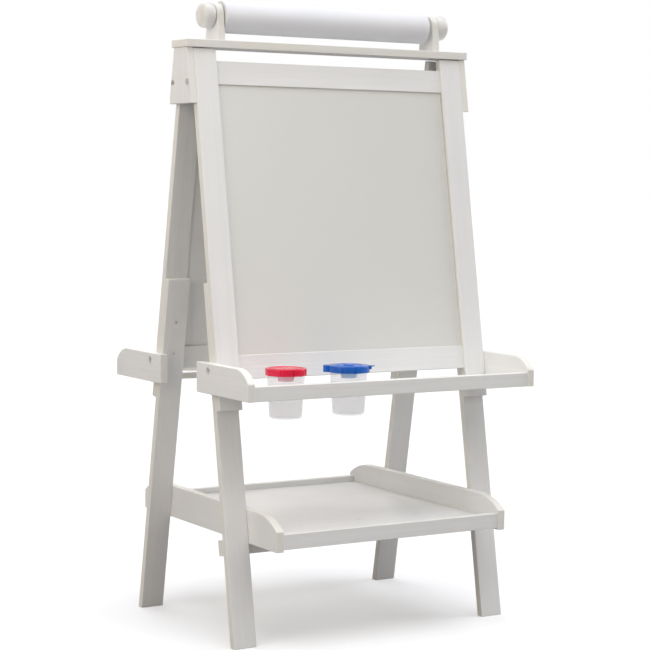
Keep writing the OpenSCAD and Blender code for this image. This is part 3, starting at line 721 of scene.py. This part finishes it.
def lid_mesh(centre, z0, radii, crown):
    """A lid as a stack of outlines: the skirt follows the lobes, then the top rises to the
    crown's rings. The inside is a plain hollow."""
    turns, height = len(radii), LID_H
    bore, roof, edge = RIM_R + 0.0004, 0.0109, 0.0006
    bm = bmesh.new()

    def loop(z, radius=None, inset=0.0):
        made = []
        for k in range(turns):
            a = 2 * math.pi * k / turns
            r = radius if radius is not None else radii[k] - inset
            made.append(bm.verts.new((r * math.cos(a), r * math.sin(a), z)))
        return made

    loops = [loop(0.0, bore), loop(0.0, inset=edge * 0.6), loop(edge * 0.35, inset=edge * 0.15),
             loop(edge)]
    loops += [loop(edge + (height - 2 * edge) * k / 4) for k in range(1, 4)]
    loops += [loop(height - edge), loop(height - edge * 0.3, inset=edge * 0.3),
              loop(height, inset=edge)]
    loops += [loop(z, r) for r, z in crown]
    top = bm.verts.new((0, 0, crown[-1][1]))
    inner = [loop(roof, bore), loop(roof, bore * 0.5)]
    cap = bm.verts.new((0, 0, roof))
    for a, b in zip(loops, loops[1:]):
        for k in range(turns):
            n = (k + 1) % turns
            bm.faces.new((a[k], a[n], b[n], b[k]))
    for k in range(turns):
        n = (k + 1) % turns
        bm.faces.new((loops[-1][k], loops[-1][n], top))
        bm.faces.new((loops[0][n], loops[0][k], inner[0][k], inner[0][n]))
        bm.faces.new((inner[0][n], inner[0][k], inner[1][k], inner[1][n]))
        bm.faces.new((inner[1][n], inner[1][k], cap))
    bmesh.ops.recalc_face_normals(bm, faces=bm.faces)
    bmesh.ops.transform(bm, matrix=Matrix.Translation((centre.x, centre.y, z0)), verts=bm.verts)
    mesh = bpy.data.meshes.new("lid")
    bm.to_mesh(mesh)
    bm.free()
    return mesh


MOULDED = 38  # degrees over which a moulded edge stays sharp


def add_pot(colour, funnel_glow_plastic):
    """A pot and its funnel. Returns the middle of the pot."""
    low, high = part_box(colour + "_pot")
    centre, foot_z = (low + high) / 2, low.z
    pot = add_piece(colour + "_pot_moulded", pot_mesh(centre, foot_z), colour + "_cup",
                    "pot_plastic", POT)
    shade_smooth(pot.data, MOULDED)
    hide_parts(colour + "_pot")
    # the funnel's pale bright colour is a painted glow
    funnel = add_piece(colour + "_funnel_moulded", funnel_mesh(centre, foot_z), colour + "_cup",
                       colour + "_plastic", funnel_glow_plastic)
    shade_smooth(funnel.data, MOULDED)
    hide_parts(colour + "_pot_funnel")
    return centre


def lid_tab(centre, turn, top):
    """The blue lid's pull tab: a thin tongue with a finger block under it, off the rim."""
    half, drop = 0.0049, 0.0069
    side = [(0.0358, 0.0), (0.0484, 0.0), (0.0484, -0.0013), (0.0430, -0.0016),
            (0.0429, -drop), (0.0389, -drop), (0.0388, -0.0016), (0.0358, -0.0016)]
    bm = bmesh.new()
    near, far = [[bm.verts.new((r, y, z)) for r, z in side] for y in (-half, half)]
    bm.faces.new(near)
    bm.faces.new(far)
    for k in range(len(side)):
        n = (k + 1) % len(side)
        bm.faces.new((near[k], near[n], far[n], far[k]))
    bmesh.ops.recalc_face_normals(bm, faces=bm.faces)
    bmesh.ops.bevel(bm, geom=bm.edges[:], offset=0.0004, segments=2, affect="EDGES", profile=0.5)
    place = Matrix.Translation((centre.x, centre.y, top)) @ Matrix.Rotation(turn, 4, "Z")
    bmesh.ops.transform(bm, matrix=place, verts=bm.verts)
    mesh = bpy.data.meshes.new("tab")
    bm.to_mesh(mesh)
    bm.free()
    add_piece("blue_lid_tab", mesh, "blue_lid", "blue_plastic", BLUE)
    shade_smooth(mesh, MOULDED)


def add_lid(colour, plastic, centre, radii, crown):
    """A lid from its outline and the rings of its crown. Returns the height of its foot."""
    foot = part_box(colour + "_pot_lid")[0].z
    lid = add_piece(colour + "_lid_moulded", lid_mesh(centre, foot, radii, crown),
                    colour + "_lid", colour + "_plastic", plastic)
    shade_smooth(lid.data, MOULDED)
    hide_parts(colour + "_pot_lid")
    return foot


def add_pots():
    centre = add_pot("red", RED_FUNNEL_GLOW)
    crown = [(0.0322, 0.0125), (0.0317, 0.0127), (0.0314, 0.0132), (0.0309, 0.0134),
             (0.0299, 0.0134), (0.0294, 0.0132), (0.0291, 0.0127), (0.0286, 0.0125),
             (0.0150, 0.0126), (0.0060, 0.0127)]
    add_lid("red", RED, centre, lid_outline(0.0396, 0.0022, math.radians(9)), crown)
    centre = add_pot("blue", BLUE_FUNNEL_GLOW)
    turn = math.radians(-31)
    thumb_lobe = (turn + math.pi, 0.26, 0.0484)
    crown = [(0.0265, 0.0125), (0.0260, 0.0127), (0.0257, 0.0132), (0.0252, 0.0134),
             (0.0242, 0.0134), (0.0236, 0.0131), (0.0233, 0.0127), (0.0228, 0.0125),
             (0.0110, 0.0125), (0.0102, 0.0128), (0.0099, 0.0140), (0.0093, 0.0144),
             (0.0040, 0.0144)]
    foot = add_lid("blue", BLUE, centre, lid_outline(0.0405, 0.0026, turn, [thumb_lobe]), crown)
    lid_tab(centre, turn, foot + LID_H)


add_pots()


# ---------- floor, world and lights ----------

def add_floor():
    """A white floor. It is darker to light than to sight, as a grey studio floor printed white."""
    bm = bmesh.new()
    bmesh.ops.create_grid(bm, x_segments=8, y_segments=8, size=60)
    mesh = bpy.data.meshes.new("studio_floor")
    bm.to_mesh(mesh)
    bm.free()
    floor = bpy.data.objects.new("studio_floor", mesh)
    scene.collection.objects.link(floor)
    s = Shader("studio_floor", Roughness=0.9, Specular_IOR_Level=0.0, Emission_Strength=0.34,
               Base_Color=(0.62, 0.62, 0.62), Emission_Color=(1.0, 1.0, 1.0))
    dull = s.node("BsdfDiffuse", {"Color": (0.33, 0.32, 0.31, 1)})
    path = s.node("LightPath")
    mix = s.node("MixShader", {0: path.outputs["Is Camera Ray"]})
    s.tree.links.new(dull.outputs[0], mix.inputs[1])
    s.tree.links.new(s.surface.outputs[0], mix.inputs[2])
    s.tree.links.new(mix.outputs[0], s.tree.nodes["Material Output"].inputs["Surface"])
    mesh.materials.append(s.material)


def add_world():
    """A dim sky for the light, and plain white where the camera looks past the floor."""
    world = bpy.data.worlds.new("studio")
    world.use_nodes = True
    tree = world.node_tree
    light = tree.nodes["Background"]
    light.inputs["Color"].default_value = (0.95, 0.975, 1.0, 1)
    light.inputs["Strength"].default_value = 0.06
    backdrop = tree.nodes.new("ShaderNodeBackground")
    backdrop.inputs["Color"].default_value = (1, 1, 1, 1)
    path = tree.nodes.new("ShaderNodeLightPath")
    mix = tree.nodes.new("ShaderNodeMixShader")
    tree.links.new(path.outputs["Is Camera Ray"], mix.inputs["Fac"])
    tree.links.new(light.outputs[0], mix.inputs[1])
    tree.links.new(backdrop.outputs[0], mix.inputs[2])
    tree.links.new(mix.outputs[0], tree.nodes["World Output"].inputs["Surface"])
    scene.world = world


def add_sun(name, toward, strength, width, colour):
    """A distant soft light. toward points from the easel to the light."""
    data = bpy.data.lights.new(name, "SUN")
    data.energy = strength
    data.angle = math.radians(width)
    data.color = colour
    light = bpy.data.objects.new(name, data)
    light.rotation_euler = Vector(toward).to_track_quat("Z", "Y").to_euler()
    scene.collection.objects.link(light)


def add_softbox(name, place, aim, width, power, colour):
    """A square soft light near the easel, so that its light falls off towards the floor."""
    data = bpy.data.lights.new(name, "AREA")
    data.size = width
    data.energy = power
    data.color = colour
    light = bpy.data.objects.new(name, data)
    light.location = place
    light.rotation_euler = (Vector(place) - Vector(aim)).to_track_quat("Z", "Y").to_euler()
    light.visible_camera = False
    scene.collection.objects.link(light)


add_floor()
add_world()
add_sun("overhead", (0.05, -0.12, 1.0), 2.5, 65, (0.90, 0.93, 1.0))
add_sun("front", (0.10, -1.0, -0.12), 0.34, 60, (1.0, 0.92, 0.84))
add_sun("left", (-0.95, -0.25, 0.30), 0.80, 60, (1.0, 0.92, 0.80))
add_sun("right", (1.0, -0.20, 0.40), 1.3, 40, (1.0, 1.0, 1.0))
add_sun("back", (0.0, 0.90, 0.38), 1.7, 60, (1.0, 0.95, 0.93))
add_softbox("front_box", (0.1, -1.6, 1.9), (0.0, 0.0, 0.9), 1.3, 6.0, (1.0, 0.94, 0.88))
add_softbox("left_box", (-1.7, -0.6, 1.5), (0.0, 0.0, 0.7), 1.2, 8.5, (1.0, 0.93, 0.84))
scene.view_settings.view_transform = "Standard"
